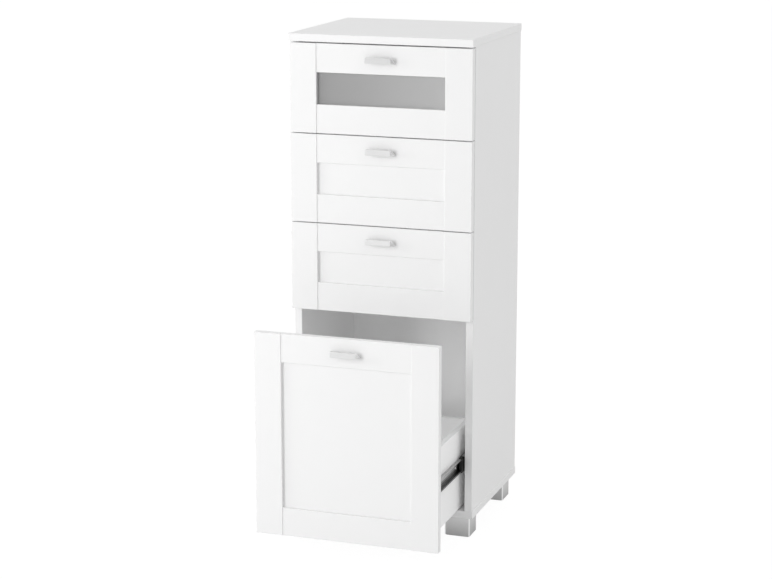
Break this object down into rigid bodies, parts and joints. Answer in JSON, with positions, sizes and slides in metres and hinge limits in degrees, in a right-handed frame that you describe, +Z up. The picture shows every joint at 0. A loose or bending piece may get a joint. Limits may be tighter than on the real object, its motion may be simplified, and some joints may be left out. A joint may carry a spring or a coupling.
{
  "type": "bathroom storage tower",
  "caption": "Tall narrow bathroom cabinet on block feet, with framed drawers, the top one glazed, over a deep framed pull-out on ball runners.",
  "frame": {"origin": "on the floor, under the middle of the tower and its pull-out as it stands open at rest", "axes": "+Z up, the fronts face -Y, +X to the right as seen from the front"},
  "size_m": [0.4, 0.5836, 1.06],
  "materials": {
    "carcass_white": "white melamine-faced board, satin",
    "front_lacquer": "white satin lacquer on fibreboard",
    "inner_white": "white melamine-faced board, matt",
    "hardboard": "hardboard, painted white on its show face and bare on its other face",
    "frosted_glass": "frosted, satin back",
    "handle_metal": "satin silver",
    "silver_foot": "satin silver",
    "runner_steel": "zinc-plated steel",
    "screw_steel": "zinc-plated steel",
    "cam_zinc": "die-cast zinc",
    "cage_plastic": "black moulded plastic",
    "beech": "plain beech"
  },
  "bodies": {
    "carcass": {"top_panel": "carcass_white", "bottom_panel": "carcass_white", "side_panel_left": "carcass_white", "side_panel_right": "carcass_white", "fixed_shelf": "inner_white", "back_panel": "hardboard", "foot_front_left": "silver_foot", "foot_front_right": "silver_foot", "foot_rear_left": "silver_foot", "foot_rear_right": "silver_foot", "foot_screws": "screw_steel", "cam_fittings": "cam_zinc", "dowels": "beech", "cabinet_runners": "runner_steel", "cabinet_runner_screws": "screw_steel"},
    "drawer_1": {"drawer_1_stiles": "front_lacquer", "drawer_1_top_rail": "front_lacquer", "drawer_1_bottom_rail": "front_lacquer", "drawer_1_glass_pane": "frosted_glass", "drawer_1_glass_clips": "runner_steel", "drawer_1_box_sides": "inner_white", "drawer_1_box_back": "inner_white", "drawer_1_box_floor": "hardboard", "drawer_1_handle": "handle_metal", "drawer_1_screws": "screw_steel", "drawer_1_runners": "runner_steel"},
    "drawer_1_cages": {"drawer_1_ball_cages": "cage_plastic"},
    "drawer_2": {"drawer_2_stiles": "front_lacquer", "drawer_2_top_rail": "front_lacquer", "drawer_2_bottom_rail": "front_lacquer", "drawer_2_panel": "front_lacquer", "drawer_2_box_sides": "inner_white", "drawer_2_box_back": "inner_white", "drawer_2_box_floor": "hardboard", "drawer_2_handle": "handle_metal", "drawer_2_screws": "screw_steel", "drawer_2_runners": "runner_steel"},
    "drawer_2_cages": {"drawer_2_ball_cages": "cage_plastic"},
    "drawer_3": {"drawer_3_stiles": "front_lacquer", "drawer_3_top_rail": "front_lacquer", "drawer_3_bottom_rail": "front_lacquer", "drawer_3_panel": "front_lacquer", "drawer_3_box_sides": "inner_white", "drawer_3_box_back": "inner_white", "drawer_3_box_floor": "hardboard", "drawer_3_handle": "handle_metal", "drawer_3_screws": "screw_steel", "drawer_3_runners": "runner_steel"},
    "drawer_3_cages": {"drawer_3_ball_cages": "cage_plastic"},
    "pull_out": {"pull_out_stiles": "front_lacquer", "pull_out_top_rail": "front_lacquer", "pull_out_bottom_rail": "front_lacquer", "pull_out_panel": "front_lacquer", "pull_out_box_sides": "inner_white", "pull_out_box_back": "inner_white", "pull_out_box_floor": "hardboard", "pull_out_handle": "handle_metal", "pull_out_screws": "screw_steel", "pull_out_runners": "runner_steel"},
    "pull_out_cages": {"pull_out_ball_cages": "cage_plastic"}
  },
  "joints": [
    {"name": "drawer_1_slide", "type": "slide", "parent": "carcass", "child": "drawer_1", "axis": [0, -1, 0], "range_m": [0, 0.222]},
    {"name": "drawer_1_cage_roll", "type": "slide", "parent": "carcass", "child": "drawer_1_cages", "axis": [0, -1, 0], "range_m": [0, 0.111]},
    {"name": "drawer_2_slide", "type": "slide", "parent": "carcass", "child": "drawer_2", "axis": [0, -1, 0], "range_m": [0, 0.222]},
    {"name": "drawer_2_cage_roll", "type": "slide", "parent": "carcass", "child": "drawer_2_cages", "axis": [0, -1, 0], "range_m": [0, 0.111]},
    {"name": "drawer_3_slide", "type": "slide", "parent": "carcass", "child": "drawer_3", "axis": [0, -1, 0], "range_m": [0, 0.222]},
    {"name": "drawer_3_cage_roll", "type": "slide", "parent": "carcass", "child": "drawer_3_cages", "axis": [0, -1, 0], "range_m": [0, 0.111]},
    {"name": "pull_out_slide", "type": "slide", "parent": "carcass", "child": "pull_out", "axis": [0, -1, 0], "range_m": [-0.212, 0.01]},
    {"name": "pull_out_cage_roll", "type": "slide", "parent": "carcass", "child": "pull_out_cages", "axis": [0, -1, 0], "range_m": [-0.106, 0.005]}
  ],
  "couplings": [
    {"joint": "drawer_1_cage_roll", "follows": "drawer_1_slide", "ratio": 0.5},
    {"joint": "drawer_2_cage_roll", "follows": "drawer_2_slide", "ratio": 0.5},
    {"joint": "drawer_3_cage_roll", "follows": "drawer_3_slide", "ratio": 0.5},
    {"joint": "pull_out_cage_roll", "follows": "pull_out_slide", "ratio": 0.5}
  ]
}
